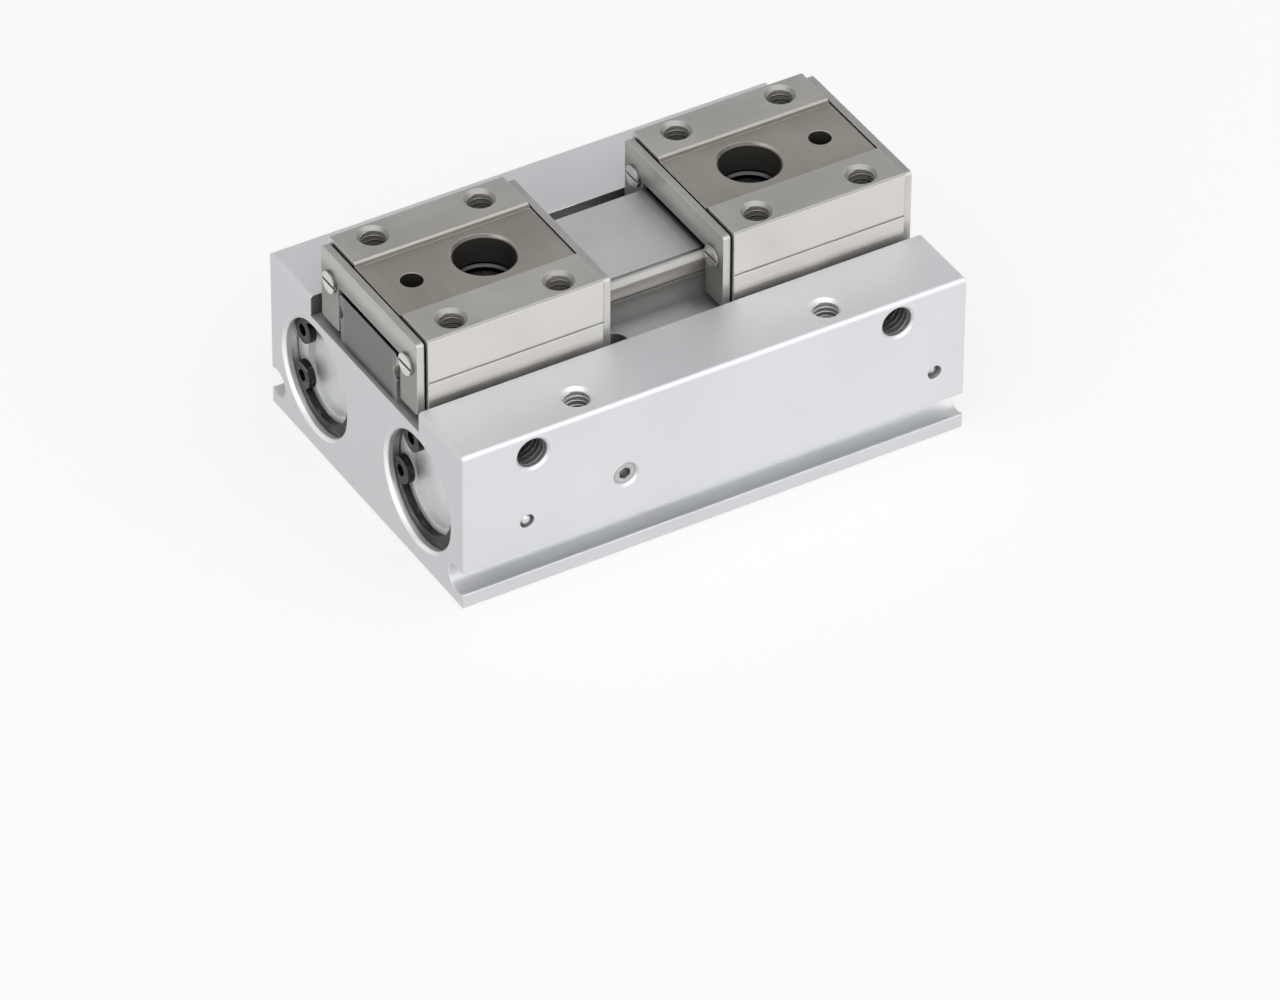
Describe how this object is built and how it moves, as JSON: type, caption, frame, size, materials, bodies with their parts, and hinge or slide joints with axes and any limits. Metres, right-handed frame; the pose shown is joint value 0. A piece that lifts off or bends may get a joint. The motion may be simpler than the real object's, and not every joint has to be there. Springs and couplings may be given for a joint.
{
  "type": "pneumatic parallel gripper",
  "caption": "Low-profile air-driven parallel gripper: flat body with side-by-side cylinders, racks and pinion driving opposed fingers that slide on a guide rail.",
  "frame": {"origin": "centre of the body's flat mounting face", "axes": "+X along the fingers' travel, +Y away from the face with the air ports, +Z from the mounting face to the fingers"},
  "size_m": [0.0724, 0.0486, 0.033],
  "materials": {
    "anodised_body": "matte clear-anodised",
    "turned_aluminium": "fine turned",
    "ground_steel": "ground",
    "rail_steel": "ground",
    "plate_steel": "pressed sheet",
    "seal_rubber": "moulded",
    "bumper_urethane": "moulded",
    "snap_ring_steel": "phosphate black",
    "screw_steel": "blackened",
    "ball_steel": "polished",
    "gear_steel": "hardened and ground",
    "bonded_magnet": "pressed"
  },
  "bodies": {
    "housing": {"body": "anodised_body", "guide_rail": "rail_steel", "rail_bolts": "screw_steel", "grub_screw": "screw_steel", "ball_plugs": "ball_steel", "cap_o_rings": "seal_rubber", "pinion_axle": "gear_steel", "pinion_cover": "turned_aluminium", "cover_snap_ring": "snap_ring_steel", "front_left_cap": "turned_aluminium", "front_left_snap_ring": "snap_ring_steel", "front_left_bumper": "bumper_urethane", "front_right_cap": "turned_aluminium", "front_right_snap_ring": "snap_ring_steel", "front_right_bumper": "bumper_urethane", "rear_left_cap": "turned_aluminium", "rear_left_snap_ring": "snap_ring_steel", "rear_left_bumper": "bumper_urethane", "rear_right_cap": "turned_aluminium", "rear_right_snap_ring": "snap_ring_steel", "rear_right_bumper": "bumper_urethane"},
    "right_jaw": {"right_finger": "ground_steel", "right_inner_end_seal": "seal_rubber", "right_outer_end_seal": "seal_rubber", "right_inner_end_plate": "plate_steel", "right_outer_end_plate": "plate_steel", "right_end_screws": "screw_steel", "right_guide_balls": "ball_steel", "right_joint_pin": "gear_steel", "rear_rack": "gear_steel", "rear_outer_piston": "turned_aluminium", "rear_inner_piston": "turned_aluminium", "rear_piston_seals": "seal_rubber", "rear_magnets": "bonded_magnet"},
    "left_jaw": {"left_finger": "ground_steel", "left_inner_end_seal": "seal_rubber", "left_outer_end_seal": "seal_rubber", "left_inner_end_plate": "plate_steel", "left_outer_end_plate": "plate_steel", "left_end_screws": "screw_steel", "left_guide_balls": "ball_steel", "left_joint_pin": "gear_steel", "front_rack": "gear_steel", "front_outer_piston": "turned_aluminium", "front_inner_piston": "turned_aluminium", "front_piston_seals": "seal_rubber", "front_magnets": "bonded_magnet"},
    "pinion_shaft": {"pinion": "gear_steel", "needle_rollers": "ball_steel"}
  },
  "joints": [
    {"name": "right_finger_slide", "type": "slide", "parent": "housing", "child": "right_jaw", "axis": [-1, 0, 0], "range_m": [0, 0.0075]},
    {"name": "left_finger_slide", "type": "slide", "parent": "housing", "child": "left_jaw", "axis": [1, 0, 0], "range_m": [0, 0.0075]},
    {"name": "pinion_spin", "type": "hinge", "parent": "housing", "child": "pinion_shaft", "pos_m": [0, 0, 0.011], "axis": [0, 0, 1], "range_deg": [0, 61.5]}
  ],
  "couplings": [
    {"joint": "left_finger_slide", "follows": "right_finger_slide", "ratio": 1},
    {"joint": "pinion_spin", "follows": "right_finger_slide", "rad_per_m": 142.86}
  ]
}
